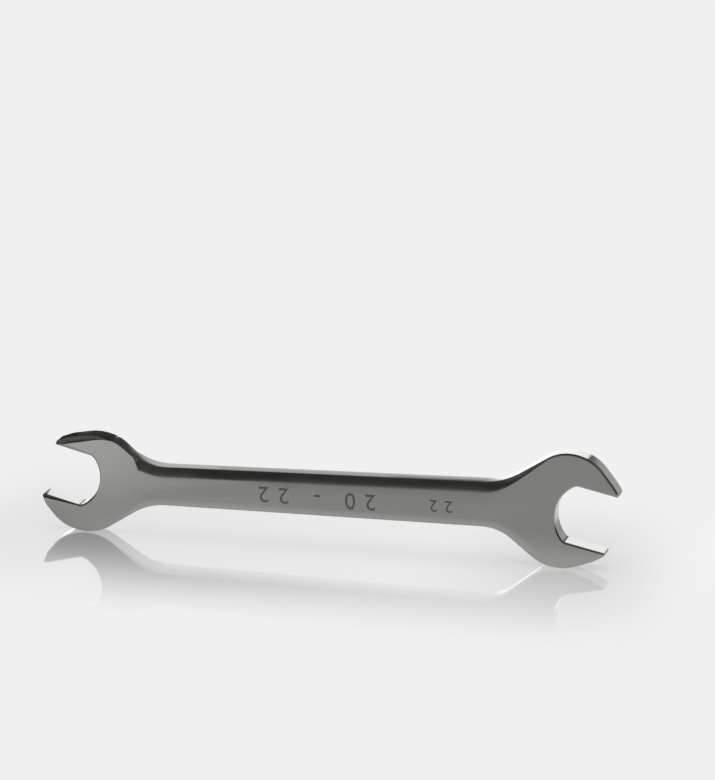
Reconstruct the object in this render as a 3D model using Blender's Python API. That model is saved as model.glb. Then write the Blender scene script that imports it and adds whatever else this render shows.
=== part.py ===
"""Double open-end wrench for 20 and 22 mm nuts, drop-forged in one piece and chrome-plated.

The wrench stands on the rims of its two heads, as it was photographed. X runs along it from
the smaller head to the larger, Y runs through its thickness and Z is up. Lengths are in
metres and angles in radians. The forging is drawn flat in its own plane first, along the axis
of the shank, and the last step turns it until both heads touch the ground.
"""
import math

import bmesh
import bpy
from mathutils import Vector

# Nuts that the jaws fit, and the play across their flats
left_nut = 0.0200
right_nut = 0.0220
nut_play = 0.00018

# Heads: width over both cheeks, depth of the jaw and its angle to the shank
left_head_width = 0.0386
right_head_width = 0.0447
left_jaw_depth = 0.0205
right_jaw_depth = 0.0218
left_jaw_angle = math.radians(15.0)
right_jaw_angle = math.radians(13.1)

# Shank: distance between the throats, how far they lie below its axis, its height beside
# each throat, and the blends of its four necks into the heads
throat_distance = 0.1753
left_throat_drop = 0.0006
right_throat_drop = 0.0005
left_shank_height = 0.0144
right_shank_height = 0.0178
left_upper_neck_radius = 0.0210
left_lower_neck_radius = 0.0230
right_upper_neck_radius = 0.0265
right_lower_neck_radius = 0.0178

# Thickness of the heads and of the shank, and the swell of the shank's faces and rims
head_thickness = 0.0078
shank_thickness = 0.0074
face_swell = 0.00015
rim_swell = 0.00010

# Shoulders between each face and the trimmed rims: height on the face, drop from it and
# how round they are, over the heads' upper cheeks and the shank's upper edge, then below
left_crown_shoulder_height = 0.0024
left_neck_shoulder_height = 0.0010
right_crown_shoulder_height = 0.0008
head_shoulder_drop = 0.0006
head_shoulder_exponent = 1.3
left_shank_shoulder_height = 0.0038
right_shank_shoulder_height = 0.0047
shank_shoulder_drop = 0.00082
shank_shoulder_exponent = 1.06
lower_head_shoulder_height = 0.0005
lower_head_shoulder_drop = 0.0004
lower_shank_shoulder_height = 0.0034
lower_shank_shoulder_drop = 0.0006
lower_shoulder_exponent = 1.8
steepest_lean_angle = math.radians(65)

# Round ends of the heads' flat faces, which meet the shank's shoulders in a corner at each
# neck: along and across from the throat, and the radius
left_upper_face_end = (-0.0043, 0.0028, 0.0200)
left_lower_face_end = (-0.0326, 0.0306, 0.0600)
right_upper_face_end = (0.0141, -0.0080, 0.0312)
right_lower_face_end = (0.0326, 0.0306, 0.0600)

# Where the left crown's shoulder narrows, measured back from the throat
left_crown_end_start = -0.0040
left_crown_end_run = 0.0110

# Deeper bevel of the left upper neck: added drop and where it comes and goes
left_neck_bevel = 0.0012
left_neck_bevel_start = 0.0000
left_neck_bevel_run = 0.0060
left_neck_bevel_end = 0.0120
left_neck_bevel_end_run = 0.0050

# Where the shoulder widens and the head thins, measured back from each throat
left_shoulder_start = 0.0090
left_shoulder_run = 0.0060
right_shoulder_start = 0.0085
right_shoulder_run = 0.0150
left_head_end = 0.0100
right_head_end = 0.0130
head_end_run = 0.0150

# Jaws: their eased edges, which widen towards the tips, then tips and lead-in
jaw_edge_width = 0.0008
jaw_edge_drop = 0.0004
jaw_edge_exponent = 2.0
tip_land = 0.0010
tip_radius = 0.0024
tip_edge = 0.0005
lead_in = 0.0006
cut_overrun = 0.0030

# Width of each jaw's eased edge at its tips as a share of the width in its throat
left_tip_edge_share = 3.6
right_tip_edge_share = 1.3

# Throat of a jaw, as shares of its opening
throat_radius_share = 0.62
throat_corner_share = 0.15

# Share of an outline's edge that the roundings at its two ends may take up, and share of a
# cross-section that its two shoulders may take up
edge_room_share = 0.96
shoulder_room_share = 0.9

# Corners of each cheek from the tip back to the neck: out from the throat as a share of the
# jaw's depth, then across from its axis and the radius of the rounding as shares of the width
left_slim_shares = ((0.765, 0.374, 0.300), (0.281, 0.492, 0.450), (-0.144, 0.476, 0.400))
left_full_shares = ((0.895, 0.365, 0.258), (0.505, 0.516, 0.422), (-0.133, 0.516, 0.440))
right_slim_shares = ((0.815, 0.351, 0.292), (0.361, 0.488, 0.406), (-0.067, 0.488, 0.380))
right_full_shares = ((0.862, 0.334, 0.246), (0.447, 0.507, 0.442), (-0.133, 0.507, 0.410))
left_slim_neck_angle = math.radians(25.0)
left_full_neck_angle = math.radians(46.5)
right_slim_neck_angle = math.radians(26.5)
right_full_neck_angle = math.radians(44.5)

# Fineness of the mesh, in steps, and the angle at which its shading breaks
corner_steps = 10
shank_steps = 16
shoulder_steps = 4
face_steps = 4
throat_steps = 20
throat_corner_steps = 6
jaw_edge_steps = 3
settling_rounds = 6
sharp_edge_angle = math.radians(20)

# Chrome plate, satin on the faces
chrome_color = (0.60, 0.60, 0.59, 1.0)
chrome_metallic = 1.0
chrome_roughness = 0.28


class Head:
    """One end of the wrench, with its jaw's axis pointing out of the mouth."""

    def __init__(self, throat, outward, nut, width, depth, tip_edge_share, face_ends):
        self.throat = throat
        self.outward = outward
        self.across = Vector((-outward.y, outward.x))
        self.opening = nut + nut_play
        self.width = width
        self.depth = depth
        self.tip_edge_share = tip_edge_share
        self.face_ends = dict(zip((1, -1), face_ends))

    def place(self, out, across):
        """A point of the forging's plane, from its place in this head."""
        return self.throat + self.outward * out + self.across * across

    def cheek(self, shares, neck_angle, side):
        """Corners of one cheek from tip to neck, and the direction in which it meets the neck."""
        tip = self.opening / 2 + tip_land
        corners = [(self.place(self.depth, 0), 0), (self.place(self.depth, side * tip), tip_radius)]
        for out_share, across_share, radius_share in shares:
            point = self.place(out_share * self.depth, side * across_share * self.width)
            corners.append((point, radius_share * self.width))
        neck = self.outward * -math.cos(neck_angle) - self.across * (side * math.sin(neck_angle))
        return corners, neck

    def face_gap(self, point, inward, side):
        """Distance from the outline to the round end of the face, along the inward direction."""
        along_shank, across_shank, radius = self.face_ends[side]
        offset = self.throat + Vector((along_shank, across_shank)) - point
        if offset.x * self.outward.x < 0:
            return 0
        along = offset.dot(inward)
        half_chord_squared = radius * radius - offset.length_squared + along * along
        if half_chord_squared < 0:
            return throat_distance
        return max(along - math.sqrt(half_chord_squared), 0)


def make_heads():
    left_outward = Vector((-math.cos(left_jaw_angle), math.sin(left_jaw_angle)))
    right_outward = Vector((math.cos(right_jaw_angle), -math.sin(right_jaw_angle)))
    left_throat = Vector((0, -left_throat_drop))
    right_throat = Vector((throat_distance, -right_throat_drop))
    left_jaw = (left_nut, left_head_width, left_jaw_depth, left_tip_edge_share)
    right_jaw = (right_nut, right_head_width, right_jaw_depth, right_tip_edge_share)
    left_ends = (left_upper_face_end, left_lower_face_end)
    right_ends = (right_upper_face_end, right_lower_face_end)
    left = Head(left_throat, left_outward, *left_jaw, left_ends)
    right = Head(right_throat, right_outward, *right_jaw, right_ends)
    return left, right


def crossing(point_a, direction_a, point_b, direction_b):
    """Where two lines of the plane cross."""
    gap = point_b - point_a
    turn = direction_a.x * direction_b.y - direction_a.y * direction_b.x
    return point_a + direction_a * ((gap.x * direction_b.y - gap.y * direction_b.x) / turn)


def corner_turn(before, corner, after):
    """Signed angle by which a path turns at one corner."""
    incoming = corner - before
    outgoing = after - corner
    return math.atan2(incoming.x * outgoing.y - incoming.y * outgoing.x, incoming.dot(outgoing))


def setbacks(corners):
    """How far each corner's rounding reaches along its edges, cut down where an edge is short."""
    points = [point for point, radius in corners]
    wanted = [0.0]
    for before, (corner, radius), after in zip(points, corners[1:], points[2:]):
        wanted.append(radius * math.tan(abs(corner_turn(before, corner, after)) / 2))
    wanted.append(0.0)
    fits = [1.0] * len(points)
    for index in range(len(points) - 1):
        room = (points[index + 1] - points[index]).length * edge_room_share
        fit = room / max(wanted[index] + wanted[index + 1], room)
        fits[index] = min(fits[index], fit)
        fits[index + 1] = min(fits[index + 1], fit)
    return [reach * fit for reach, fit in zip(wanted, fits)]


def round_corner(before, corner, after, reach):
    """Points of the arc that rounds one corner, or the corner alone where it is sharp."""
    if reach == 0:
        return [corner]
    turn = corner_turn(before, corner, after)
    side = math.copysign(1, turn)
    radius = reach / math.tan(abs(turn) / 2)
    incoming = (corner - before).normalized()
    inward = Vector((-incoming.y, incoming.x)) * side
    centre = corner - incoming * reach + inward * radius
    arc = []
    for step in range(corner_steps + 1):
        angle = abs(turn) * step / corner_steps
        arc.append(centre + (incoming * math.sin(angle) - inward * math.cos(angle)) * radius)
    return arc


def rounded_path(corners):
    """Points along a line of corners, each rounded by its own radius."""
    points = [corners[0][0]]
    reaches = setbacks(corners)
    for index in range(1, len(corners) - 1):
        before, corner, after = (corners[index + move][0] for move in (-1, 0, 1))
        points += round_corner(before, corner, after, reaches[index])
    points.append(corners[-1][0])
    return points


def half_outline(left_cheek, right_cheek, side, left_radius, right_radius):
    """One long edge of the blank, from the left mouth to the right one, over the shank."""
    left_corners, left_neck = left_cheek
    right_corners, right_neck = right_cheek
    left_end = Vector((0, side * left_shank_height / 2))
    right_end = Vector((throat_distance, side * right_shank_height / 2))
    along = (right_end - left_end).normalized()
    left_blend = crossing(left_corners[-1][0], left_neck, left_end, along)
    right_blend = crossing(right_corners[-1][0], right_neck, left_end, along)
    corners = left_corners + [(left_blend, left_radius), (right_blend, right_radius)]
    return divide_shank(rounded_path(corners + right_corners[::-1]))


def divide_shank(path):
    """The same path with stations spread along the straight edge of the shank."""
    lengths = [(end - start).length for start, end in zip(path, path[1:])]
    longest = lengths.index(max(lengths))
    start, end = path[longest], path[longest + 1]
    middle = [start.lerp(end, step / shank_steps) for step in range(1, shank_steps)]
    return path[:longest + 1] + middle + path[longest + 1:]


def outward_normals(path, side):
    """Outward normals of an outline that runs from left to right."""
    found = []
    last = len(path) - 1
    for index in range(len(path)):
        run = (path[min(index + 1, last)] - path[max(index - 1, 0)]).normalized()
        found.append(Vector((-run.y, run.x)) * side)
    return found


def mix(first, second, share):
    return first + (second - first) * share


def ease(value, start, run):
    """Smooth step from 0 to 1 over the run."""
    share = min(max((value - start) / run, 0), 1)
    return share * share * (3 - 2 * share)


def slimness(place):
    """0 over the heads and 1 along the shank, by the place along its axis."""
    left = ease(place, left_head_end, head_end_run)
    right = ease(throat_distance - place, right_head_end, head_end_run)
    return left * right


def half_thickness(place):
    return mix(head_thickness, shank_thickness, slimness(place)) / 2


def shank_share(place):
    """0 where the heads' own shoulders run and 1 where the shank's do."""
    if place < throat_distance / 2:
        return ease(place, left_shoulder_start, left_shoulder_run)
    return ease(throat_distance - place, right_shoulder_start, right_shoulder_run)


def shoulder_shape(place, side):
    """Drop of a shoulder from the face to the rim, and how round it is."""
    share = shank_share(place)
    if side < 0:
        return mix(lower_head_shoulder_drop, lower_shank_shoulder_drop, share), lower_shoulder_exponent
    exponent = mix(head_shoulder_exponent, shank_shoulder_exponent, share)
    bevel = ease(place, left_neck_bevel_start, left_neck_bevel_run)
    bevel -= ease(place, left_neck_bevel_end, left_neck_bevel_end_run)
    return mix(head_shoulder_drop, shank_shoulder_drop, share) + left_neck_bevel * bevel, exponent


def shoulder_heights(place, side):
    """Heights of a head's own shoulder and of the shank's at one place along the axis."""
    if side < 0:
        return lower_head_shoulder_height, lower_shank_shoulder_height
    widest = mix(left_shank_shoulder_height, right_shank_shoulder_height, place / throat_distance)
    if place > throat_distance / 2:
        return right_crown_shoulder_height, widest
    share = ease(place, left_crown_end_start, left_crown_end_run)
    return mix(left_crown_shoulder_height, left_neck_shoulder_height, share), widest


def shoulder_reach(heads, point, inward, lean, side):
    """Distance along the section from the outline to the flat face: the head's own narrow
    shoulder, the gap to the round end of its face, or the shank's wide shoulder."""
    head = heads[0] if point.x < throat_distance / 2 else heads[1]
    narrowest, widest = shoulder_heights(point.x, side)
    gap = head.face_gap(point, inward, side)
    return min(max(narrowest / lean, gap), widest / lean)


def shoulder_stations(reach, drop, exponent):
    """Stations of one shoulder as (way in from the rim, rise above the face)."""
    shares = [step / shoulder_steps for step in range(shoulder_steps)]
    return [(reach * share, -drop * (1 - share) ** exponent) for share in shares]


def section_front(heads, low, high, low_normal, high_normal):
    """Front of one cross-section from the low rim to the high one, as (point, depth)."""
    chord = high - low
    length = chord.length
    upward = chord / length
    steepest = math.cos(steepest_lean_angle)
    low_lean = max(-low_normal.dot(upward), steepest)
    high_lean = max(high_normal.dot(upward), steepest)
    low_reach = shoulder_reach(heads, low, upward, low_lean, -1)
    high_reach = shoulder_reach(heads, high, -upward, high_lean, 1)
    fit = shoulder_room_share / max((low_reach + high_reach) / length, shoulder_room_share)
    low_reach, high_reach = low_reach * fit, high_reach * fit
    stations = shoulder_stations(low_reach, *shoulder_shape(low.x, -1))
    for step in range(face_steps + 1):
        share = step / face_steps
        swell = face_swell * 4 * share * (1 - share) * slimness((low.x + high.x) / 2)
        stations.append((mix(low_reach, length - high_reach, share), swell))
    high_side = shoulder_stations(high_reach, *shoulder_shape(high.x, 1))
    stations += [(length - along, rise) for along, rise in reversed(high_side)]
    points = [(low + upward * along, rise) for along, rise in stations]
    return [(point, half_thickness(point.x) + rise) for point, rise in points]


def section_ring(heads, low, high, low_normal, high_normal, trim):
    """Closed ring of 3-D points round one cross-section, with a ridge along both rims."""
    front = section_front(heads, low, high, low_normal, high_normal)
    crest = high + high_normal * (rim_swell * slimness(high.x))
    root = low + low_normal * (rim_swell * slimness(low.x))
    ring = [Vector((point.x, trim - depth, point.y)) for point, depth in front]
    ring.append(Vector((crest.x, 0, crest.y)))
    ring += [Vector((point.x, depth - trim, point.y)) for point, depth in reversed(front)]
    ring.append(Vector((root.x, 0, root.y)))
    return ring


def blank_rings(heads):
    """Cross-sections of the blank from the left mouth to the right one."""
    left, right = heads
    left_slim = left.cheek(left_slim_shares, left_slim_neck_angle, -1)
    left_full = left.cheek(left_full_shares, left_full_neck_angle, 1)
    right_slim = right.cheek(right_slim_shares, right_slim_neck_angle, -1)
    right_full = right.cheek(right_full_shares, right_full_neck_angle, 1)
    top = half_outline(left_slim, right_full, 1, left_upper_neck_radius, right_upper_neck_radius)
    bottom = half_outline(left_full, right_slim, -1, left_lower_neck_radius, right_lower_neck_radius)
    top_normals = outward_normals(top, 1)
    bottom_normals = outward_normals(bottom, -1)
    rings = []
    mouths = (1, len(top) - 2)
    for index in range(1, len(top) - 1):
        trim = tip_edge if index in mouths else 0
        normals = bottom_normals[index], top_normals[index]
        rings.append(section_ring(heads, bottom[index], top[index], *normals, trim))
    return rings


def standing_turn(rings):
    """Angle and height that bring both heads down onto the ground."""
    rim = [point for ring in rings for point in ring]
    middle = throat_distance / 2
    turn = 0.0
    for _ in range(settling_rounds):
        cosine, sine = math.cos(turn), math.sin(turn)
        feet = []
        for side in (-1, 1):
            half = [point for point in rim if (point.x - middle) * side > 0]
            feet.append(min(half, key=lambda point: point.x * sine + point.z * cosine))
        turn = -math.atan2(feet[1].z - feet[0].z, feet[1].x - feet[0].x)
    lowest = min(point.x * math.sin(turn) + point.z * math.cos(turn) for point in rim)
    return turn, lowest


def stand(point, turn, lowest, middle):
    """A point of the forging's plane, moved to where the standing wrench has it."""
    x = point.x * math.cos(turn) - point.z * math.sin(turn)
    z = point.x * math.sin(turn) + point.z * math.cos(turn)
    return Vector((x - middle, point.y, z - lowest))


def mesh_object(name, rings):
    """A closed solid from a row of rings that all have the same number of points."""
    mesh = bpy.data.meshes.new(name)
    work = bmesh.new()
    rows = [[work.verts.new(point) for point in ring] for ring in rings]
    count = len(rows[0])
    for row, following in zip(rows, rows[1:]):
        for index in range(count):
            after = (index + 1) % count
            work.faces.new((row[index], row[after], following[after], following[index]))
    work.faces.new(rows[0][::-1])
    work.faces.new(rows[-1])
    bmesh.ops.recalc_face_normals(work, faces=work.faces)
    work.to_mesh(mesh)
    work.free()
    item = bpy.data.objects.new(name, mesh)
    bpy.context.collection.objects.link(item)
    return item


def jaw_outline(head, grow):
    """Outline of one jaw's opening, wider all round by grow, from mouth to mouth."""
    half = head.opening / 2
    radius = throat_radius_share * head.opening
    corner = throat_corner_share * head.opening
    corner_out = radius - math.sqrt((radius - corner) ** 2 - (half - corner) ** 2)
    reach = math.atan2(half - corner, radius - corner_out)
    mouth = head.depth + cut_overrun
    tip_grow = grow * head.tip_edge_share
    lead_out = head.depth - lead_in - tip_grow * math.tan(math.pi / 8)
    side = [(mouth, half + tip_grow + mouth - lead_out), (lead_out, half + tip_grow)]
    for step in range(throat_corner_steps):
        angle = mix(math.pi / 2, reach, step / throat_corner_steps)
        out = corner_out - (corner + grow) * math.cos(angle)
        side.append((out, half - corner + (corner + grow) * math.sin(angle)))
    for step in range(throat_steps // 2 + 1):
        angle = reach - reach * step / (throat_steps // 2)
        out = radius - (radius + grow) * math.cos(angle)
        side.append((out, (radius + grow) * math.sin(angle)))
    other = [(out, -across) for out, across in reversed(side[:-1])]
    return [head.place(out, across) for out, across in side + other]


def jaw_levels():
    """Depth and growth of a jaw cutter's levels: straight walls and eased edges."""
    half = head_thickness / 2
    levels = []
    for step in range(jaw_edge_steps + 1):
        share = step / jaw_edge_steps
        depth = half - jaw_edge_drop * (1 - share) ** jaw_edge_exponent
        levels.append((depth, jaw_edge_width * share))
    levels.append((half + cut_overrun, jaw_edge_width + cut_overrun))
    return [(-depth, grow) for depth, grow in reversed(levels)] + levels


def jaw_cutter(name, head, to_ground):
    """The block that cuts one jaw and eases its edges on both faces."""
    rings = []
    for depth, grow in jaw_levels():
        outline = jaw_outline(head, grow)
        rings.append([to_ground(Vector((point.x, depth, point.y))) for point in outline])
    cutter = mesh_object(name, rings)
    cutter.hide_render = True
    cutter.display_type = "WIRE"
    return cutter


def cut(item, cutter):
    modifier = item.modifiers.new(cutter.name, "BOOLEAN")
    modifier.operation = "DIFFERENCE"
    modifier.solver = "EXACT"
    modifier.object = cutter


def chrome_plate():
    material = bpy.data.materials.new("chrome_plate")
    material.use_nodes = True
    shader = material.node_tree.nodes["Principled BSDF"]
    shader.inputs["Base Color"].default_value = chrome_color
    shader.inputs["Metallic"].default_value = chrome_metallic
    shader.inputs["Roughness"].default_value = chrome_roughness
    return material


def clear_scene():
    for item in list(bpy.data.objects):
        bpy.data.objects.remove(item, do_unlink=True)


def main():
    clear_scene()
    heads = make_heads()
    rings = blank_rings(heads)
    turn, lowest = standing_turn(rings)
    reach = [stand(point, turn, lowest, 0).x for ring in rings for point in ring]
    middle = (min(reach) + max(reach)) / 2

    def to_ground(point):
        return stand(point, turn, lowest, middle)

    body = mesh_object("wrench_body", [[to_ground(point) for point in ring] for ring in rings])
    body.data.materials.append(chrome_plate())
    body.data.shade_smooth()
    body.data.set_sharp_from_angle(angle=sharp_edge_angle)
    for name, head in zip(("left_jaw_cutter", "right_jaw_cutter"), heads):
        cut(body, jaw_cutter(name, head, to_ground))


main()
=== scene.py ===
"""Looks of the double open-end wrench: the finished forging, its chrome, and a small studio.

The CAD model gives the place and the size. The wrench is modelled again here with the same
outline formulas, finely enough for rounded edges, soft shoulders and stamped size numerals.
Lengths are in metres and angles in radians.
"""
import math
from collections import namedtuple

import bmesh
import bpy
from mathutils import Matrix, Vector


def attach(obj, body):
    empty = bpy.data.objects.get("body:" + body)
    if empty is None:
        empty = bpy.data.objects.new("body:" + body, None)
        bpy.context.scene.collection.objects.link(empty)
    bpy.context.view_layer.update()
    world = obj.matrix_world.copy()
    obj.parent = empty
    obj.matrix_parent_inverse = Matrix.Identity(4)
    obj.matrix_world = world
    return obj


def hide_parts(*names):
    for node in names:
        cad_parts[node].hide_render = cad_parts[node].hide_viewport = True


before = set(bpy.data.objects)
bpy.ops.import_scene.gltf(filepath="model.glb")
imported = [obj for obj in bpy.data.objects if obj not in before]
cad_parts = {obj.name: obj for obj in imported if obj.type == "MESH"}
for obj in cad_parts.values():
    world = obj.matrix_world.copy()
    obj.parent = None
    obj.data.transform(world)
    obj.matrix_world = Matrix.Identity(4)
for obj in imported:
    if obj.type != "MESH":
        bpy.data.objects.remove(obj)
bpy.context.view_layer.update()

# Photograph's frame and the camera that took it
photo_width = 715
photo_height = 780
focal_pixels = 5000
sensor_width_mm = 36
camera_place = Vector((0.4579, -1.7203, 0.5611))
camera_pitch = math.radians(15.694)
camera_yaw = math.radians(14.56)
camera_range = 20.0

# Nuts that the jaws fit, and the play across their flats
left_nut = 0.0200
right_nut = 0.0220
nut_play = 0.00018

# Heads: width over both cheeks, depth of the jaw and its angle to the shank
left_head_width = 0.0386
right_head_width = 0.0447
left_jaw_depth = 0.0205
right_jaw_depth = 0.0218
left_jaw_angle = math.radians(15.0)
right_jaw_angle = math.radians(13.1)

# Shank: distance between the throats, their drop below its axis, its height and its necks
throat_distance = 0.1753
left_throat_drop = 0.0006
right_throat_drop = 0.0005
left_shank_height = 0.0144
right_shank_height = 0.0178
left_upper_neck_radius = 0.0210
left_lower_neck_radius = 0.0230
right_upper_neck_radius = 0.0265
right_lower_neck_radius = 0.0178

# Thickness of the heads and of the shank, and the swell of the shank's faces and rims
head_thickness = 0.0078
shank_thickness = 0.0074
face_swell = 0.00020
rim_swell = 0.00005

# Shoulder between each face and the trimmed rim: height on the face, drop from it, roundness
left_crown_shoulder_height = 0.0026
left_crown_end_shoulder_height = 0.0004
right_crown_shoulder_height = 0.0007
head_lower_shoulder_height = 0.0005
left_head_shoulder_drop = 0.0012
left_crown_end_shoulder_drop = 0.0007
right_head_shoulder_drop = 0.0006
left_shank_shoulder_height = 0.0038
right_shank_shoulder_height = 0.0047
shank_shoulder_drop = 0.00082
shank_lower_shoulder_height = 0.0034
shank_lower_shoulder_drop = 0.0006
head_lower_shoulder_drop = 0.0004
left_upper_round_exponent = 1.15
right_upper_round_exponent = 1.50
crown_round_exponent = 1.7
lower_round_exponent = 1.8
rim_edge = 0.0002

# Round ends of the heads' flat faces: centre, measured from the throat, and radius
left_upper_face_end = (Vector((-0.0043, 0.0028)), 0.0200)
left_lower_face_end = (Vector((-0.0326, 0.0306)), 0.0600)
right_upper_face_end = (Vector((0.0141, -0.0070)), 0.0320)
right_lower_face_end = (Vector((0.0326, 0.0306)), 0.0600)

# Where the left crown's shoulder narrows, measured from the throat
left_crown_end_start = -0.0040
left_crown_end_run = 0.0110

# Where the shank's upper shoulder narrows at the right head, back from its throat, and what is left
right_shank_end_start = 0.0110
right_shank_end_run = 0.0150
right_shank_end_share = 0.42

# Deeper bevel of the two upper necks: added drop, and where it comes and goes
left_neck_bevel = 0.0008
left_neck_bevel_start = 0.0060
left_neck_bevel_run = 0.0060
left_neck_bevel_end = 0.0120
left_neck_bevel_end_run = 0.0050
right_neck_bevel = 0.00012
right_neck_bevel_start = 0.0100
right_neck_bevel_run = 0.0060
right_neck_bevel_end = 0.0220
right_neck_bevel_end_run = 0.0100

# Where the shoulder widens and the head thins, measured back from each throat
left_shoulder_start = 0.0090
left_shoulder_run = 0.0060
right_shoulder_start = 0.0060
right_shoulder_run = 0.0100
left_head_end = 0.0100
right_head_end = 0.0130
head_end_run = 0.0150

# Jaws: rounded edges, tips and lead-in
jaw_edge_width = 0.0008
jaw_edge_drop = 0.0004
jaw_edge_exponent = 2.0
left_tip_edge_share = 2.8
right_tip_edge_share = 1.3
tip_land = 0.0010
tip_radius = 0.0024
left_tip_edge = 0.0005
right_tip_edge = 0.0012
lead_in = 0.0006
half_lead_in_angle = math.radians(22.5)
cut_overrun = 0.0030

# Throat of a jaw, as shares of its opening
throat_radius_share = 0.62
throat_corner_share = 0.15

# Share of an outline's edge that the roundings at its two ends may take up
edge_room_share = 0.96

# Corners of each cheek, tip to neck: share of the jaw's depth, then shares of the head's width
left_slim_shares = ((0.765, 0.374, 0.300), (0.281, 0.492, 0.450), (-0.144, 0.476, 0.400))
left_full_shares = ((0.895, 0.365, 0.258), (0.505, 0.516, 0.422), (-0.133, 0.516, 0.440))
right_slim_shares = ((0.815, 0.351, 0.292), (0.361, 0.488, 0.406), (-0.067, 0.488, 0.380))
right_full_shares = ((0.862, 0.334, 0.246), (0.447, 0.507, 0.442), (-0.133, 0.507, 0.410))
left_slim_neck_angle = math.radians(25.0)
left_full_neck_angle = math.radians(46.5)
right_slim_neck_angle = math.radians(26.5)
right_full_neck_angle = math.radians(44.5)

# Fineness of the mesh, in steps
corner_steps = 20
shank_steps = 60
shoulder_steps = 10
face_steps = 8
rim_steps = 6
rim_edge_steps = 3
throat_steps = 48
throat_corner_steps = 12
jaw_edge_steps = 8

# Rounds in which the wrench settles on the ground
settling_rounds = 6

# Steepest outline that still widens a shoulder, and the share of a section left to the shoulders
steepest_lean = math.cos(math.radians(65))
shoulder_room_share = 0.9

# Angle between faces from which an edge is shaded as sharp
sharp_angle = math.radians(28)

# Stamped size numerals, upside down on the photographed face: name, text, place and height
numerals = (
    ("pair_numerals", "20 - 22", Vector((-0.0035, 0.0202)), 0.0062),
    ("end_numerals", "22", Vector((0.0440, 0.0207)), 0.0046),
)

# Numerals: depth, reach of their cutter past the face, share of the font's size, and spacing
numeral_depth = 0.00020
numeral_overrun = 0.0010
numeral_height_share = 0.70
numeral_spacing = 1.75
join_distance = 0.000001

# Where a face counts as sunk: its distance from the middle plane, and how near it is to a text
numeral_floor = 0.00374
numeral_field_reach = 0.0300
numeral_field_share = 0.55

# Chrome's roughness on rims and faces, by how far a face looks along the thickness, and its wear
rim_roughness = 0.10
face_roughness = 0.20
facing_span = (0.5, 0.9)
patchiness = 0.18
patchy_span = (0.3, 0.7)
scratch_roughness = 0.40
stamped_roughness = 0.55

# Chrome's colours, from cloud to cloud, and the painted shade of the sunk numerals: a darker colour
# that stands for the shade in their recesses
chrome_dark = (0.560, 0.558, 0.533, 1.0)
chrome_light = (0.590, 0.587, 0.562, 1.0)
cloudy_span = (0.35, 0.65)
numeral_painted_shade = (0.30, 0.30, 0.29, 1.0)

# Scale, detail and stretch of the noises of the chrome
cloud_noise = (90.0, 3.0, 3.0)
grain_noise = (5200.0, 2.0, 4.0)
wave_noise = (130.0, 1.0, 1.0)
scratch_noise = (900.0, 1.0, 30.0)
scratch_patch_noise = (60.0, 2.0, 1.0)

# Strength and depth of the relief of the grain and of the forging's waves
grain_relief = (0.25, 0.00001)
wave_relief = (0.35, 0.00004)

# Hairlines: middle of their noise, span about it that they fill, and where they appear
noise_middle = 0.5
scratch_span = (0.0, 0.010)
scratch_patch_span = (0.52, 0.66)

# Floor: half its side, its colour, and the share and strength of the light of its own
floor_reach = 6.0
floor_color = (0.80, 0.80, 0.80, 1.0)
floor_glow = 0.871
floor_glow_share = 0.75

# Mirroring strip of the floor: where it lies, how strong it is and how it changes along X
gloss_across_span = (0.10, 0.008)
gloss_along_span = (0.155, 0.120)
gloss_most = 0.70
gloss_rightward_span = (-0.10, 0.06)
gloss_right_share = 0.52
gloss_roughness = 0.05
gloss_tint_span = (0.03, 0.10)
gloss_left = 1.42
gloss_right = 0.85
glance_blend = 0.5
glance_span = (0.35, 0.68)

# Floor as the chrome sees it, with the spans of X or Y over which its brightness changes
chrome_floor_below = 0.50
chrome_floor_front = 0.36
chrome_front_span = (-0.010, -0.045)
chrome_floor_near = 0.62
chrome_floor_far = 1.66
chrome_far_span = (0.0, -0.08)
chrome_left_span = (-0.06, -0.13)
chrome_fade_span = (-0.17, -0.60)
chrome_fade_low = 0.08
chrome_behind_span = (0.02, 0.15)
chrome_floor_behind = 1.6
chrome_floor_beyond = 0.4
chrome_beyond_span = (0.100, 0.115)

# Studio world: brightness by the sine of the elevation, and where one side gives way to the next
world_strength = 2.0
back_left_stops = ((0.0, 0.82), (0.14, 0.82), (0.24, 0.36), (0.36, 0.30), (0.50, 0.04), (1.0, 0.03))
back_right_stops = ((0.0, 0.80), (0.30, 0.80), (0.46, 0.80), (0.58, 0.04), (1.0, 0.03))
back_edge_stops = ((0.0, 0.28), (0.22, 0.28), (0.36, 0.06), (0.55, 0.05), (0.80, 0.05), (1.0, 0.03))
front_stops = ((0.0, 0.015), (0.22, 0.015), (0.42, 0.06), (0.65, 0.08), (0.80, 0.05), (1.0, 0.02))
rightward_span = (-0.20, -0.16)
far_right_span = (0.08, 0.10)
backward_span = (-0.2, 0.2)

# Overhead lamp
lamp_strength = 3.08
lamp_angle = math.radians(60)

# Cards behind the wrench: sides, brightness and that of the low edge, distance, sight and slant
card_distance = 0.05
card_sight = 0.09
card_fade = 0.0026
card_fields = "name left right low high glow low_glow behind sight rise"
CardDesign = namedtuple("CardDesign", card_fields, defaults=(card_distance, card_sight, 0.0))
card_designs = (
    CardDesign("dark_card", -0.25, -0.1165, 0.030, 0.090, 0.03, 0.03),
    CardDesign("crown_card", -0.1165, -0.100, 0.0425, 0.090, 0.048, 0.12),
    CardDesign("neck_card", -0.100, -0.085, 0.0492, 0.090, 0.048, 0.20),
    CardDesign("neck_slope_card", -0.085, -0.066, 0.0500, 0.090, 0.048, 0.048, rise=0.0070),
    CardDesign("neck_end_card", -0.066, -0.055, 0.0492, 0.090, 0.048, 0.20),
    CardDesign("neck_gleam_card", -0.082, -0.058, 0.038, 0.060, 0.66, 0.66, behind=0.0505),
    CardDesign("far_neck_card", -0.058, -0.012, 0.133, 0.200, 0.09, 0.09, behind=0.30, sight=0.335),
    CardDesign("bright_card", 0.045, 0.090, 0.053, 0.090, 1.35, 1.35),
)

# Space between shader nodes in the editor
node_spacing = 200


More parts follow.
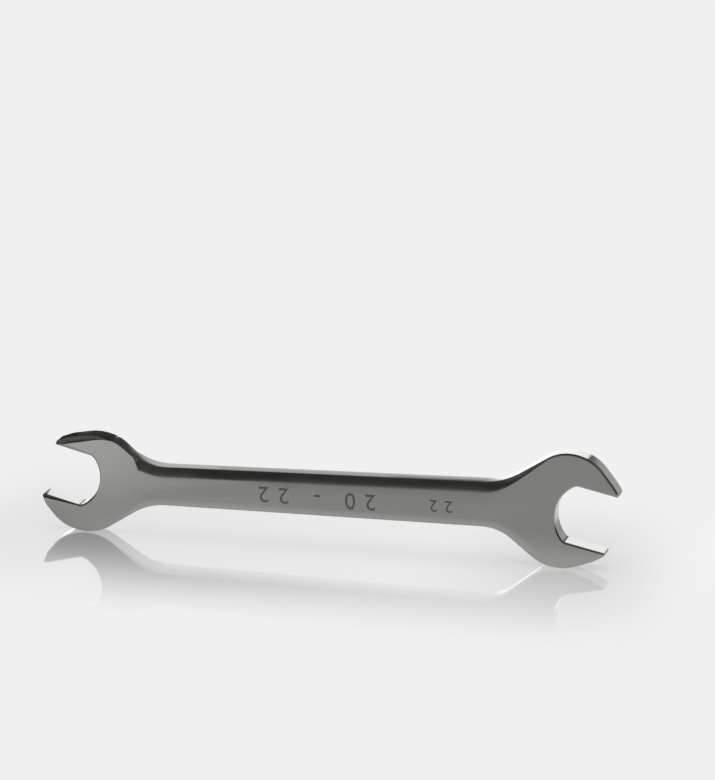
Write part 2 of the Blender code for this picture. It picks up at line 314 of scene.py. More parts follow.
class Head:
    """One end of the wrench, with its jaw's axis pointing out of the mouth."""

    def __init__(self, throat, outward, nut, width, depth, tip_edge_share, face_ends):
        self.throat = throat
        self.outward = outward
        self.across = Vector((-outward.y, outward.x))
        self.opening = nut + nut_play
        self.width = width
        self.depth = depth
        self.tip_edge_share = tip_edge_share
        self.face_ends = dict(zip((1, -1), face_ends))

    def place(self, out, across):
        """A point of the forging's plane, from its place in this head."""
        return self.throat + self.outward * out + self.across * across

    def cheek(self, shares, neck_angle, side):
        """Corners of one cheek from tip to neck, and the direction in which it meets the neck."""
        tip = self.opening / 2 + tip_land
        corners = [(self.place(self.depth, 0), 0), (self.place(self.depth, side * tip), tip_radius)]
        for out_share, across_share, radius_share in shares:
            point = self.place(out_share * self.depth, side * across_share * self.width)
            corners.append((point, radius_share * self.width))
        neck = self.outward * -math.cos(neck_angle) - self.across * (side * math.sin(neck_angle))
        return corners, neck

    def from_mouth(self, point):
        """How far inside the mouth's end a point of the plane lies."""
        return self.depth - (point - self.throat).dot(self.outward)

    def face_end_reach(self, point, inward, side):
        """Distance from the outline to the round end of the face, along the inward direction."""
        centre, radius = self.face_ends[side]
        offset = self.throat + centre - point
        if offset.x * self.outward.x < 0:
            return 0
        along = offset.dot(inward)
        half = radius * radius - offset.length_squared + along * along
        if half < 0:
            return throat_distance
        return max(along - math.sqrt(half), 0)


def make_heads():
    """The left and the right head, in the plane of the forging."""
    left_outward = Vector((-math.cos(left_jaw_angle), math.sin(left_jaw_angle)))
    right_outward = Vector((math.cos(right_jaw_angle), -math.sin(right_jaw_angle)))
    left_throat = Vector((0, -left_throat_drop))
    right_throat = Vector((throat_distance, -right_throat_drop))
    left_jaw = (left_nut, left_head_width, left_jaw_depth, left_tip_edge_share)
    right_jaw = (right_nut, right_head_width, right_jaw_depth, right_tip_edge_share)
    left_ends = (left_upper_face_end, left_lower_face_end)
    right_ends = (right_upper_face_end, right_lower_face_end)
    left = Head(left_throat, left_outward, *left_jaw, left_ends)
    right = Head(right_throat, right_outward, *right_jaw, right_ends)
    return left, right


def crossing(point_a, direction_a, point_b, direction_b):
    """Where two lines of the plane cross."""
    gap = point_b - point_a
    turn = direction_a.x * direction_b.y - direction_a.y * direction_b.x
    return point_a + direction_a * ((gap.x * direction_b.y - gap.y * direction_b.x) / turn)


def corner_turn(before, corner, after):
    """Signed angle by which a path turns at one corner."""
    incoming = corner - before
    outgoing = after - corner
    return math.atan2(incoming.x * outgoing.y - incoming.y * outgoing.x, incoming.dot(outgoing))


def setbacks(corners):
    """How far each corner's rounding reaches along its edges, cut down where an edge is short."""
    points = [point for point, radius in corners]
    wanted = [0.0]
    for before, (corner, radius), after in zip(points, corners[1:], points[2:]):
        wanted.append(radius * math.tan(abs(corner_turn(before, corner, after)) / 2))
    wanted.append(0.0)
    fits = [1.0] * len(points)
    for index in range(len(points) - 1):
        room = (points[index + 1] - points[index]).length * edge_room_share
        fit = room / max(wanted[index] + wanted[index + 1], room)
        fits[index] = min(fits[index], fit)
        fits[index + 1] = min(fits[index + 1], fit)
    return [reach * fit for reach, fit in zip(wanted, fits)]


def round_corner(before, corner, after, reach):
    """Points of the arc that rounds one corner, or the corner alone where it is sharp."""
    if reach == 0:
        return [corner]
    turn = corner_turn(before, corner, after)
    side = math.copysign(1, turn)
    radius = reach / math.tan(abs(turn) / 2)
    incoming = (corner - before).normalized()
    inward = Vector((-incoming.y, incoming.x)) * side
    centre = corner - incoming * reach + inward * radius
    arc = []
    for step in range(corner_steps + 1):
        angle = abs(turn) * step / corner_steps
        arc.append(centre + (incoming * math.sin(angle) - inward * math.cos(angle)) * radius)
    return arc


def rounded_path(corners):
    """Points along a line of corners, each rounded by its own radius."""
    points = [corners[0][0]]
    reaches = setbacks(corners)
    for index in range(1, len(corners) - 1):
        before, corner, after = (corners[index + move][0] for move in (-1, 0, 1))
        points += round_corner(before, corner, after, reaches[index])
    points.append(corners[-1][0])
    return points


def half_outline(left_cheek, right_cheek, side, left_radius, right_radius):
    """One long edge of the blank, from the left mouth to the right one, over the shank."""
    left_corners, left_neck = left_cheek
    right_corners, right_neck = right_cheek
    left_end = Vector((0, side * left_shank_height / 2))
    right_end = Vector((throat_distance, side * right_shank_height / 2))
    along = (right_end - left_end).normalized()
    left_blend = crossing(left_corners[-1][0], left_neck, left_end, along)
    right_blend = crossing(right_corners[-1][0], right_neck, left_end, along)
    corners = left_corners + [(left_blend, left_radius), (right_blend, right_radius)]
    return divide_shank(rounded_path(corners + right_corners[::-1]))


def divide_shank(path):
    """The same path with stations spread along the straight edge of the shank."""
    lengths = [(end - start).length for start, end in zip(path, path[1:])]
    longest = lengths.index(max(lengths))
    start, end = path[longest], path[longest + 1]
    middle = [start.lerp(end, step / shank_steps) for step in range(1, shank_steps)]
    return path[:longest + 1] + middle + path[longest + 1:]


def outward_normals(path, side):
    """Outward normals of an outline that runs from left to right."""
    found = []
    last = len(path) - 1
    for index in range(len(path)):
        run = (path[min(index + 1, last)] - path[max(index - 1, 0)]).normalized()
        found.append(Vector((-run.y, run.x)) * side)
    return found


def mix(first, second, share):
    """Part of the way from the first value to the second."""
    return first + (second - first) * share


def ease(value, start, run):
    """Smooth step from 0 to 1 over the run."""
    share = min(max((value - start) / run, 0), 1)
    return share * share * (3 - 2 * share)


def on_left(place):
    """Whether a place along the axis is in the wrench's left half."""
    return place < throat_distance / 2


def slimness(place):
    """0 over the heads and 1 along the shank, by the place along its axis."""
    left = ease(place, left_head_end, head_end_run)
    right = ease(throat_distance - place, right_head_end, head_end_run)
    return left * right


def half_thickness(place):
    """Half the forging's thickness at one place along the axis."""
    return mix(head_thickness, shank_thickness, slimness(place)) / 2


def tip_trim(heads, point):
    """How much the rounded end of a jaw's tip takes off the half thickness."""
    inside = min(head.from_mouth(point) for head in heads)
    edge = left_tip_edge if on_left(point.x) else right_tip_edge
    share = min(max(inside / edge, 0), 1)
    return edge * (1 - math.sqrt(1 - (1 - share) * (1 - share)))


def head_share(place):
    """0 where the head's own shoulder runs and 1 where the shank's does."""
    if on_left(place):
        return ease(place, left_shoulder_start, left_shoulder_run)
    return ease(throat_distance - place, right_shoulder_start, right_shoulder_run)


def neck_bevel(place):
    """Added drop of the upper shoulder at the two necks."""
    left = ease(place, left_neck_bevel_start, left_neck_bevel_run)
    left -= ease(place, left_neck_bevel_end, left_neck_bevel_end_run)
    back = throat_distance - place
    right = ease(back, right_neck_bevel_start, right_neck_bevel_run)
    right -= ease(back, right_neck_bevel_end, right_neck_bevel_end_run)
    return left_neck_bevel * left + right_neck_bevel * right


def shoulder_shape(place, side):
    """Drop of the shoulder from the face to the rim and how round it is."""
    share = head_share(place)
    if side < 0:
        return mix(head_lower_shoulder_drop, shank_lower_shoulder_drop, share), lower_round_exponent
    head_drop = right_head_shoulder_drop
    if on_left(place):
        spread = ease(place, left_crown_end_start, left_crown_end_run)
        head_drop = mix(left_head_shoulder_drop, left_crown_end_shoulder_drop, spread)
    upper = mix(left_upper_round_exponent, right_upper_round_exponent, place / throat_distance)
    exponent = mix(crown_round_exponent, upper, share)
    return mix(head_drop, shank_shoulder_drop, share) + neck_bevel(place), exponent


def shoulder_heights(place, side):
    """Heights of a head's own shoulder and of the shank's at one place along the axis."""
    if side < 0:
        return head_lower_shoulder_height, shank_lower_shoulder_height
    widest = mix(left_shank_shoulder_height, right_shank_shoulder_height, place / throat_distance)
    if on_left(place):
        share = ease(place, left_crown_end_start, left_crown_end_run)
        return mix(left_crown_shoulder_height, left_crown_end_shoulder_height, share), widest
    spread = ease(throat_distance - place, right_shank_end_start, right_shank_end_run)
    return right_crown_shoulder_height, widest * mix(right_shank_end_share, 1, spread)


def shoulder_reach(heads, point, inward, lean, side):
    """Distance along the section from the outline to the flat face.

    It is the head's own narrow shoulder, the gap to the round end of its face, or the shank's
    wide shoulder.
    """
    head = heads[0] if on_left(point.x) else heads[1]
    narrowest, widest = shoulder_heights(point.x, side)
    gap = head.face_end_reach(point, inward, side)
    return min(max(narrowest / lean, gap), widest / lean)


def curve_point(start, corner, end, share):
    """A point on the rounding of one corner."""
    first = start.lerp(corner, share)
    return first.lerp(corner.lerp(end, share), share)


def shoulder_profile(reach, drop, exponent, edge):
    """Rounded edge of the rim and the shoulder, as (inward, sink) from the rim to the face."""
    corner = Vector((0, drop))
    slope = Vector((reach, -drop * exponent)).normalized()
    start = corner + Vector((0, edge))
    end = corner + slope * edge
    shares = [step / rim_edge_steps for step in range(rim_edge_steps)]
    points = [curve_point(start, corner, end, share) for share in shares]
    first = end.x / reach
    for step in range(shoulder_steps):
        share = mix(first, 1, step / shoulder_steps)
        points.append(Vector((reach * share, drop * (1 - share) ** exponent)))
    return points


def section_front(heads, low, high, low_normal, high_normal):
    """Front of one cross-section from the low rim to the high one, as (point, depth)."""
    chord = high - low
    length = chord.length
    upward = chord / length
    low_lean = max(-low_normal.dot(upward), steepest_lean)
    high_lean = max(high_normal.dot(upward), steepest_lean)
    low_reach = shoulder_reach(heads, low, upward, low_lean, -1)
    high_reach = shoulder_reach(heads, high, -upward, high_lean, 1)
    fit = shoulder_room_share / max((low_reach + high_reach) / length, shoulder_room_share)
    low_reach *= fit
    high_reach *= fit
    low_side = shoulder_profile(low_reach, *shoulder_shape(low.x, -1), rim_edge)
    high_side = shoulder_profile(high_reach, *shoulder_shape(high.x, 1), rim_edge)
    stations = [(point.x, -point.y) for point in low_side]
    for step in range(face_steps + 1):
        share = step / face_steps
        swell = face_swell * 4 * share * (1 - share) * slimness((low.x + high.x) / 2)
        stations.append((mix(low_reach, length - high_reach, share), swell))
    stations += [(length - point.x, -point.y) for point in reversed(high_side)]
    front = []
    for along, rise in stations:
        point = low + upward * along
        front.append((point, half_thickness(point.x) + rise - tip_trim(heads, point)))
    return front


def rim_points(end, normal, depth):
    """Points over one rim between its two edges, from the front to the back."""
    points = []
    for step in range(1, rim_steps):
        across = mix(-1, 1, step / rim_steps)
        swell = rim_swell * slimness(end.x) * (1 - across * across)
        crest = end + normal * swell
        points.append(Vector((crest.x, depth * across, crest.y)))
    return points


def section_ring(heads, low, high, low_normal, high_normal):
    """Closed ring of 3-D points round one cross-section."""
    front = section_front(heads, low, high, low_normal, high_normal)
    ring = [Vector((point.x, -depth, point.y)) for point, depth in front]
    ring += rim_points(high, high_normal, front[-1][1])
    ring += [Vector((point.x, depth, point.y)) for point, depth in reversed(front)]
    ring += rim_points(low, low_normal, front[0][1])[::-1]
    return ring


def blank_rings(heads):
    """Cross-sections of the blank from the left mouth to the right one."""
    left, right = heads
    left_slim = left.cheek(left_slim_shares, left_slim_neck_angle, -1)
    left_full = left.cheek(left_full_shares, left_full_neck_angle, 1)
    right_slim = right.cheek(right_slim_shares, right_slim_neck_angle, -1)
    right_full = right.cheek(right_full_shares, right_full_neck_angle, 1)
    top = half_outline(left_slim, right_full, 1, left_upper_neck_radius, right_upper_neck_radius)
    bottom = half_outline(left_full, right_slim, -1, left_lower_neck_radius, right_lower_neck_radius)
    top_normals = outward_normals(top, 1)
    bottom_normals = outward_normals(bottom, -1)
    rings = []
    for index in range(1, len(top) - 1):
        normals = bottom_normals[index], top_normals[index]
        rings.append(section_ring(heads, bottom[index], top[index], *normals))
    return rings


def standing_turn(rings):
    """Angle and height that bring both heads down onto the ground."""
    rim = [point for ring in rings for point in ring]
    middle = throat_distance / 2
    turn = 0.0
    for _ in range(settling_rounds):
        cosine, sine = math.cos(turn), math.sin(turn)
        feet = []
        for side in (-1, 1):
            half = [point for point in rim if (point.x - middle) * side > 0]
            feet.append(min(half, key=lambda point: point.x * sine + point.z * cosine))
        turn = -math.atan2(feet[1].z - feet[0].z, feet[1].x - feet[0].x)
    lowest = min(point.x * math.sin(turn) + point.z * math.cos(turn) for point in rim)
    return turn, lowest


def stand(point, turn, lowest, middle):
    """A point of the forging's plane, moved to where the standing wrench has it."""
    x = point.x * math.cos(turn) - point.z * math.sin(turn)
    z = point.x * math.sin(turn) + point.z * math.cos(turn)
    return Vector((x - middle, point.y, z - lowest))


def mesh_object(name, rings):
    """A closed solid from a row of rings that all have the same number of points."""
    mesh = bpy.data.meshes.new(name)
    work = bmesh.new()
    rows = [[work.verts.new(point) for point in ring] for ring in rings]
    count = len(rows[0])
    for row, following in zip(rows, rows[1:]):
        for index in range(count):
            after = (index + 1) % count
            work.faces.new((row[index], row[after], following[after], following[index]))
    work.faces.new(rows[0][::-1])
    work.faces.new(rows[-1])
    bmesh.ops.recalc_face_normals(work, faces=work.faces)
    work.to_mesh(mesh)
    work.free()
    item = bpy.data.objects.new(name, mesh)
    bpy.context.collection.objects.link(item)
    return item


def jaw_outline(head, grow):
    """Outline of one jaw's opening, wider all round by grow, from mouth to mouth."""
    half = head.opening / 2
    radius = throat_radius_share * head.opening
    corner = throat_corner_share * head.opening
    corner_out = radius - math.sqrt((radius - corner) ** 2 - (half - corner) ** 2)
    reach = math.atan2(half - corner, radius - corner_out)
    mouth = head.depth + cut_overrun
    tip_grow = grow * head.tip_edge_share
    lead_out = head.depth - lead_in - tip_grow * math.tan(half_lead_in_angle)
    side = [(mouth, half + tip_grow + mouth - lead_out), (lead_out, half + tip_grow)]
    for step in range(throat_corner_steps):
        angle = mix(math.pi / 2, reach, step / throat_corner_steps)
        out = corner_out - (corner + grow) * math.cos(angle)
        side.append((out, half - corner + (corner + grow) * math.sin(angle)))
    for step in range(throat_steps // 2 + 1):
        angle = reach - reach * step / (throat_steps // 2)
        out = radius - (radius + grow) * math.cos(angle)
        side.append((out, (radius + grow) * math.sin(angle)))
    other = [(out, -across) for out, across in reversed(side[:-1])]
    return [head.place(out, across) for out, across in side + other]


def jaw_levels():
    """Depth and growth of a jaw cutter's levels: straight walls and rounded edges."""
    half = head_thickness / 2
    levels = []
    for step in range(jaw_edge_steps):
        share = step / jaw_edge_steps
        depth = half - jaw_edge_drop * (1 - share) ** jaw_edge_exponent
        levels.append((depth, jaw_edge_width * share))
    levels.append((half, jaw_edge_width))
    levels.append((half + cut_overrun, jaw_edge_width + cut_overrun))
    return [(-depth, grow) for depth, grow in reversed(levels)] + levels


def jaw_cutter(name, head, to_ground):
    """The block that cuts one jaw and rounds its edges on both faces."""
    rings = []
    for depth, grow in jaw_levels():
        outline = jaw_outline(head, grow)
        rings.append([to_ground(Vector((point.x, depth, point.y))) for point in outline])
    return mesh_object(name, rings)


def numeral_curve(name, text, height):
    """Outlines of the numerals, thick enough to reach past the face and down to their floors."""
    curve = bpy.data.curves.new(name, "FONT")
    curve.body = text
    curve.size = height / numeral_height_share
    curve.space_character = numeral_spacing
    curve.align_x = "CENTER"
    curve.align_y = "CENTER"
    curve.extrude = (numeral_depth + numeral_overrun) / 2
    return curve


def numeral_cutter(name, text, place, height):
    """Solid numerals, upside down as seen from the front, sunk into the shank's front face."""
    item = bpy.data.objects.new(name, numeral_curve(name, text, height))
    bpy.context.collection.objects.link(item)
    face_depth = shank_thickness / 2 + face_swell
    middle = -face_depth + (numeral_depth - numeral_overrun) / 2
    turned = Matrix.Rotation(math.pi, 4, "Y") @ Matrix.Rotation(math.pi / 2, 4, "X")
    item.matrix_world = Matrix.Translation((place.x, middle, place.y)) @ turned
    bpy.context.view_layer.update()
    mesh = bpy.data.meshes.new_from_object(item)
    mesh.transform(item.matrix_world)
    bpy.data.objects.remove(item, do_unlink=True)
    close_mesh(mesh)
    solid = bpy.data.objects.new(name, mesh)
    bpy.context.collection.objects.link(solid)
    return solid


def close_mesh(mesh):
    """Joins points that lie on each other, so that the mesh bounds a solid."""
    work = bmesh.new()
    work.from_mesh(mesh)
    bmesh.ops.remove_doubles(work, verts=work.verts, dist=join_distance)
    bmesh.ops.recalc_face_normals(work, faces=work.faces)
    work.to_mesh(mesh)
    work.free()


def cut(item, cutter):
    """Cuts one solid out of the item and deletes the cutter."""
    modifier = item.modifiers.new(cutter.name, "BOOLEAN")
    modifier.operation = "DIFFERENCE"
    modifier.solver = "EXACT"
    modifier.object = cutter
    graph = bpy.context.evaluated_depsgraph_get()
    mesh = bpy.data.meshes.new_from_object(item.evaluated_get(graph))
    item.modifiers.clear()
    item.data = mesh
    bpy.data.objects.remove(cutter, do_unlink=True)


def in_numerals(point):
    """Whether a point lies below the face inside one of the stamped numerals."""
    if not -numeral_floor < point.y < 0:
        return False
    for name, text, place, height in numerals:
        beside = abs(point.x - place.x)
        above = abs(point.z - place.y)
        if beside < numeral_field_reach and above < height * numeral_field_share:
            return True
    return False


def mark_numerals(item):
    """Marks the sunk faces of the numerals, which the chrome leaves dull and darkens with painted
    shade.
    """
    marks = item.data.attributes.new("stamped", "FLOAT", "FACE")
    for face, mark in zip(item.data.polygons, marks.data):
        mark.value = 1.0 if in_numerals(face.center) else 0.0


def soften(item):
    """Smooth shading that keeps the sharp edges."""
    item.data.shade_smooth()
    item.data.set_sharp_from_angle(angle=sharp_angle)
    weighted = item.modifiers.new("face_normals", "WEIGHTED_NORMAL")
    weighted.keep_sharp = True


def make_wrench():
    """The finished forging: the standing blank with its jaws cut and its numerals stamped."""
    heads = make_heads()
    left, right = heads
    rings = blank_rings(heads)
    turn, lowest = standing_turn(rings)
    reach = [stand(point, turn, lowest, 0).x for ring in rings for point in ring]
    middle = (min(reach) + max(reach)) / 2

    def to_ground(point):
        return stand(point, turn, lowest, middle)

    wrench = mesh_object("wrench_forging", [[to_ground(point) for point in ring] for ring in rings])
    cut(wrench, jaw_cutter("left_jaw_cutter", left, to_ground))
    cut(wrench, jaw_cutter("right_jaw_cutter", right, to_ground))
    for name, text, place, height in numerals:
        cut(wrench, numeral_cutter(name, text, place, height))
    mark_numerals(wrench)
    soften(wrench)
    return wrench


def node(tree, kind, **values):
    """A shader node to the right of the earlier ones, with some of its properties set."""
    made = tree.nodes.new(kind)
    made.location.x = node_spacing * len(tree.nodes)
    for key, value in values.items():
        setattr(made, key, value)
    return made


def feed(tree, value, socket):
    """Gives an input another node's output, or a plain number or colour."""
    if isinstance(value, bpy.types.NodeSocket):
        tree.links.new(value, socket)
    else:
        socket.default_value = value


def calculate(tree, operation, *values):
    """Output of one arithmetic step."""
    made = node(tree, "ShaderNodeMath", operation=operation)
    for value, socket in zip(values, made.inputs):
        feed(tree, value, socket)
    return made.outputs[0]


def carry(tree, value, span, start, end):
    """Output that goes from start to end while the value crosses the span, with soft ends."""
    made = node(tree, "ShaderNodeMapRange", interpolation_type="SMOOTHSTEP")
    feed(tree, value, made.inputs["Value"])
    feed(tree, span[0], made.inputs["From Min"])
    feed(tree, span[1], made.inputs["From Max"])
    feed(tree, start, made.inputs["To Min"])
    feed(tree, end, made.inputs["To Max"])
    return made.outputs["Result"]


def blend(tree, factor, first, second, kind="FLOAT"):
    """Output part of the way from the first value or colour to the second."""
    made = node(tree, "ShaderNodeMix", data_type=kind)
    feed(tree, factor, made.inputs["Factor"])
    feed(tree, first, made.inputs["A"])
    feed(tree, second, made.inputs["B"])
    return made.outputs["Result"]


def blend_shaders(tree, factor, first, second):
    """Output part of the way from the first shader to the second."""
    made = node(tree, "ShaderNodeMixShader")
    for value, socket in zip((factor, first, second), made.inputs):
        feed(tree, value, socket)
    return made.outputs[0]


def glowing(tree, strength):
    """Output of a white light of this strength."""
    made = node(tree, "ShaderNodeEmission")
    feed(tree, strength, made.inputs["Strength"])
    return made.outputs[0]


def split(tree, vector):
    """The X, Y and Z outputs of a vector."""
    made = node(tree, "ShaderNodeSeparateXYZ")
    feed(tree, vector, made.inputs[0])
    return made.outputs


def noise(tree, place, scale, detail, stretch):
    """Fine noise over the forging, drawn out along its length by the stretch."""
    drawn = node(tree, "ShaderNodeMapping")
    drawn.inputs["Scale"].default_value = (1 / stretch, 1.0, 1.0)
    feed(tree, place, drawn.inputs["Vector"])
    made = node(tree, "ShaderNodeTexNoise")
    made.inputs["Scale"].default_value = scale
    made.inputs["Detail"].default_value = detail
    feed(tree, drawn.outputs["Vector"], made.inputs["Vector"])
    return made.outputs[0]


def relief(tree, height, strength, depth):
    """A bump node for fine relief."""
    made = node(tree, "ShaderNodeBump")
    made.inputs["Strength"].default_value = strength
    made.inputs["Distance"].default_value = depth
    feed(tree, height, made.inputs["Height"])
    return made


def scratches(tree, place):
    """Sparse hairlines along the forging: thin bands where a drawn-out noise crosses its middle."""
    streaks = noise(tree, place, *scratch_noise)
    sparse = noise(tree, place, *scratch_patch_noise)
    away = calculate(tree, "ABSOLUTE", calculate(tree, "SUBTRACT", streaks, noise_middle))
    line = carry(tree, away, scratch_span, 1.0, 0.0)
    patch = carry(tree, sparse, scratch_patch_span, 0.0, 1.0)
    return calculate(tree, "MULTIPLY", line, patch)


def chrome_roughness(tree, cloud, hairlines, stamped):
    """Satin faces, polished rims and jaws, dull stamped numerals and slightly dull hairlines."""
    surface = node(tree, "ShaderNodeNewGeometry")
    facing = calculate(tree, "ABSOLUTE", split(tree, surface.outputs["Normal"])["Y"])
    finish = carry(tree, facing, facing_span, rim_roughness, face_roughness)
    patchy = carry(tree, cloud, patchy_span, 1 - patchiness, 1 + patchiness)
    uneven = calculate(tree, "MULTIPLY", finish, patchy)
    worn = blend(tree, hairlines, uneven, scratch_roughness)
    return blend(tree, stamped, worn, stamped_roughness)


def chrome_color(tree, cloud, stamped):
    """Faintly cloudy chrome, with painted shade that darkens the stamped numerals."""
    cloudy = carry(tree, cloud, cloudy_span, 0.0, 1.0)
    tint = blend(tree, cloudy, chrome_dark, chrome_light, "RGBA")
    # Painted shade: the sunk numerals get a darker colour that stands for the shade in their recesses
    return blend(tree, stamped, tint, numeral_painted_shade, "RGBA")


def chrome():
    """Satin chrome plate: fine grain, slight waves of the forging under it, and light wear."""
    material = bpy.data.materials.new("satin_chrome")
    material.use_nodes = True
    tree = material.node_tree
    shader = tree.nodes["Principled BSDF"]
    shader.inputs["Metallic"].default_value = 1.0
    place = node(tree, "ShaderNodeTexCoord").outputs["Object"]
    stamped = node(tree, "ShaderNodeAttribute", attribute_name="stamped").outputs["Fac"]
    cloud = noise(tree, place, *cloud_noise)
    roughness = chrome_roughness(tree, cloud, scratches(tree, place), stamped)
    feed(tree, roughness, shader.inputs["Roughness"])
    feed(tree, chrome_color(tree, cloud, stamped), shader.inputs["Base Color"])
    waves = relief(tree, noise(tree, place, *wave_noise), *wave_relief)
    grain = relief(tree, noise(tree, place, *grain_noise), *grain_relief)
    feed(tree, waves.outputs["Normal"], grain.inputs["Normal"])
    feed(tree, grain.outputs["Normal"], shader.inputs["Normal"])
    return material


def floor_gloss_share(tree, parts):
    """How glossy the floor is: most beside the wrench, nothing a hand's breadth away from it."""
    away = calculate(tree, "ABSOLUTE", parts["Y"])
    across = carry(tree, away, gloss_across_span, 0.0, gloss_most)
    beside = calculate(tree, "ABSOLUTE", parts["X"])
    along = carry(tree, beside, gloss_along_span, 0.0, 1.0)
    share = calculate(tree, "MULTIPLY", across, along)
    rightward = carry(tree, parts["X"], gloss_rightward_span, 1.0, gloss_right_share)
    eased = calculate(tree, "MULTIPLY", share, rightward)
    glance = node(tree, "ShaderNodeLayerWeight")
    glance.inputs["Blend"].default_value = glance_blend
    low_view = carry(tree, glance.outputs["Facing"], glance_span, 0.0, 1.0)
    return calculate(tree, "MULTIPLY", eased, low_view)


def floor_in_chrome(tree, parts):
    """Brightness of the floor as the chrome sees it.

    It glows brighter close below the wrench, dimmer before it and fading into the distance, and
    glows brightly behind it, like the background there.
    """
    below = carry(tree, parts["Y"], chrome_front_span, chrome_floor_below, chrome_floor_front)
    rise = carry(tree, parts["Y"], chrome_far_span, chrome_floor_near, chrome_floor_far)
    leftward = carry(tree, parts["X"], chrome_left_span, 0.0, 1.0)
    lit = calculate(tree, "MULTIPLY", below, blend(tree, leftward, 1.0, rise))
    distant = carry(tree, parts["Y"], chrome_fade_span, 1.0, chrome_fade_low)
    faded = calculate(tree, "MULTIPLY", lit, distant)
    behind = carry(tree, parts["Y"], chrome_behind_span, 0.0, 1.0)
    beyond = carry(tree, parts["X"], chrome_beyond_span, chrome_floor_behind, chrome_floor_beyond)
    return blend(tree, behind, faded, beyond)


def floor_seen(tree, parts):
    """Floor that the camera sees: soft and partly lit by itself, mirroring close to the wrench."""
    dull = node(tree, "ShaderNodeBsdfDiffuse")
    dull.inputs["Color"].default_value = floor_color
    even = glowing(tree, floor_glow)
    soft = blend_shaders(tree, floor_glow_share, dull.outputs[0], even)
    gloss = node(tree, "ShaderNodeBsdfGlossy")
    gloss.inputs["Roughness"].default_value = gloss_roughness
    tint = carry(tree, parts["X"], gloss_tint_span, gloss_left, gloss_right)
    feed(tree, tint, gloss.inputs["Color"])
    return blend_shaders(tree, floor_gloss_share(tree, parts), soft, gloss.outputs[0])


def floor_material():
    """Pale floor, with a brightness of its own for the chrome."""
    material = bpy.data.materials.new("pale_floor")
    material.use_nodes = True
    tree = material.node_tree
    tree.nodes.clear()
    parts = split(tree, node(tree, "ShaderNodeNewGeometry").outputs["Position"])
    seen = floor_seen(tree, parts)
    mirrored = glowing(tree, floor_in_chrome(tree, parts))
    in_chrome = node(tree, "ShaderNodeLightPath").outputs["Is Glossy Ray"]
    either = blend_shaders(tree, in_chrome, seen, mirrored)
    feed(tree, either, node(tree, "ShaderNodeOutputMaterial").inputs["Surface"])
    return material


def panel(name, corners, material):
    """A flat panel with four corners."""
    mesh = bpy.data.meshes.new(name)
    mesh.from_pydata([Vector(corner) for corner in corners], [], [(0, 1, 2, 3)])
    mesh.materials.append(material)
    item = bpy.data.objects.new(name, mesh)
    bpy.context.collection.objects.link(item)
    return item


def make_floor():
    """Floor that the wrench stands on."""
    signs = ((-1, -1), (1, -1), (1, 1), (-1, 1))
    corners = [(floor_reach * across, floor_reach * along, 0) for across, along in signs]
    floor = panel("floor", corners, floor_material())


def card_material(design):
    """Light for short rays, faded at the card's low edge, and clear for longer ones."""
    material = bpy.data.materials.new(design.name)
    material.use_nodes = True
    tree = material.node_tree
    tree.nodes.clear()
    parts = split(tree, node(tree, "ShaderNodeNewGeometry").outputs["Position"])
    fade = carry(tree, parts["Z"], (design.low, design.low + card_fade), design.low_glow, design.glow)
    clear = node(tree, "ShaderNodeBsdfTransparent").outputs[0]
    length = node(tree, "ShaderNodeLightPath").outputs["Ray Length"]
    near = calculate(tree, "LESS_THAN", length, design.sight)
    either = blend_shaders(tree, near, clear, glowing(tree, fade))
    feed(tree, either, node(tree, "ShaderNodeOutputMaterial").inputs["Surface"])
    return material


def make_card(design):
    """Small card behind the wrench that only its chrome sees."""
    low_left = (design.left, design.behind, design.low + design.rise)
    low_right = (design.right, design.behind, design.low)
    high_right = (design.right, design.behind, design.high)
    high_left = (design.left, design.behind, design.high)
    corners = (low_left, low_right, high_right, high_left)
    card = panel(design.name, corners, card_material(design))
    card.visible_camera = False
    card.visible_diffuse = False
    card.visible_shadow = False


def ramp(tree, value, stops):
    """Brightness over the height of a direction, from stops of sine of elevation and value."""
    made = node(tree, "ShaderNodeFloatCurve")
    curve = made.mapping.curves[0]
    curve.points[0].location = stops[0]
    curve.points[1].location = stops[-1]
    for stop in stops[1:-1]:
        curve.points.new(*stop)
    made.mapping.update()
    feed(tree, value, made.inputs["Value"])
    return made.outputs["Value"]


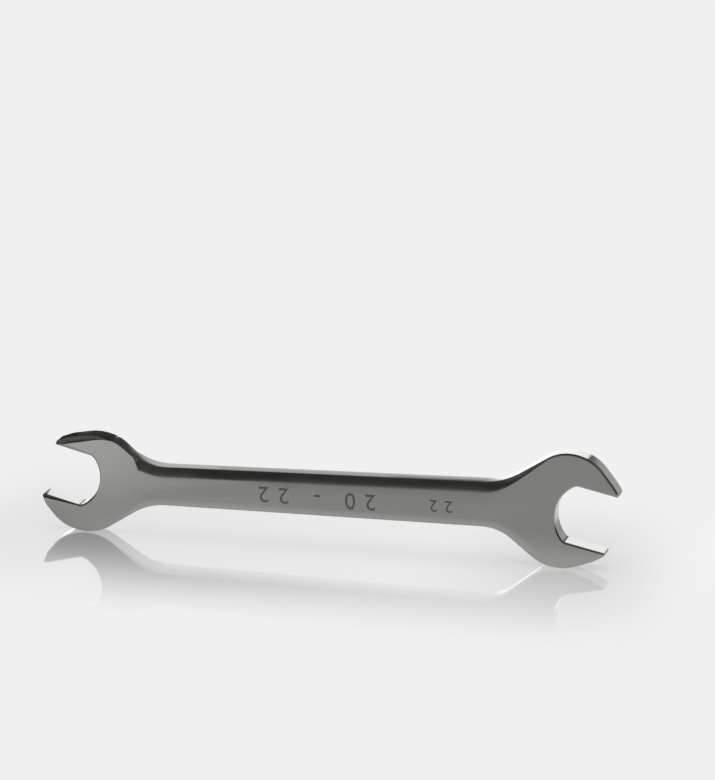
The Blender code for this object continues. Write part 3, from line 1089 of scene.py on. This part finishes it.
def make_world():
    """Soft studio: a bright low background, greyer to the left, and a dim front and ceiling."""
    world = bpy.data.worlds.new("studio")
    bpy.context.scene.world = world
    world.use_nodes = True
    tree = world.node_tree
    tree.nodes.clear()
    parts = split(tree, node(tree, "ShaderNodeTexCoord").outputs["Generated"])
    back_left = ramp(tree, parts["Z"], back_left_stops)
    back_right = ramp(tree, parts["Z"], back_right_stops)
    back_edge = ramp(tree, parts["Z"], back_edge_stops)
    front = ramp(tree, parts["Z"], front_stops)
    rightward = carry(tree, parts["X"], rightward_span, 0.0, 1.0)
    far_right = carry(tree, parts["X"], far_right_span, 0.0, 1.0)
    backward = carry(tree, parts["Y"], backward_span, 0.0, 1.0)
    near_back = blend(tree, rightward, back_left, back_right)
    back = blend(tree, far_right, near_back, back_edge)
    around = blend(tree, backward, front, back)
    strength = calculate(tree, "MULTIPLY", around, world_strength)
    light = node(tree, "ShaderNodeBackground")
    feed(tree, strength, light.inputs["Strength"])
    feed(tree, light.outputs[0], node(tree, "ShaderNodeOutputWorld").inputs["Surface"])


def make_lamp():
    """Large soft lamp overhead, which lights the floor and leaves no highlight."""
    data = bpy.data.lights.new("overhead_lamp", "SUN")
    data.energy = lamp_strength
    data.angle = lamp_angle
    lamp = bpy.data.objects.new("overhead_lamp", data)
    lamp.visible_glossy = False
    bpy.context.collection.objects.link(lamp)


def make_camera():
    """Camera with the photograph's place, direction and angle of view."""
    data = bpy.data.cameras.new("camera")
    data.sensor_width = sensor_width_mm
    data.lens = focal_pixels * sensor_width_mm / max(photo_width, photo_height)
    data.clip_end = camera_range
    camera = bpy.data.objects.new("camera", data)
    camera.location = camera_place
    camera.rotation_euler = (math.pi / 2 - camera_pitch, 0, camera_yaw)
    bpy.context.collection.objects.link(camera)
    bpy.context.scene.camera = camera


def main():
    """Builds the wrench and its stage."""
    bpy.context.scene.view_settings.view_transform = "Standard"
    wrench = make_wrench()
    wrench.data.materials.append(chrome())
    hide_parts("wrench_body")
    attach(wrench, "root")
    make_floor()
    for design in card_designs:
        make_card(design)
    make_world()
    make_lamp()
    make_camera()


main()
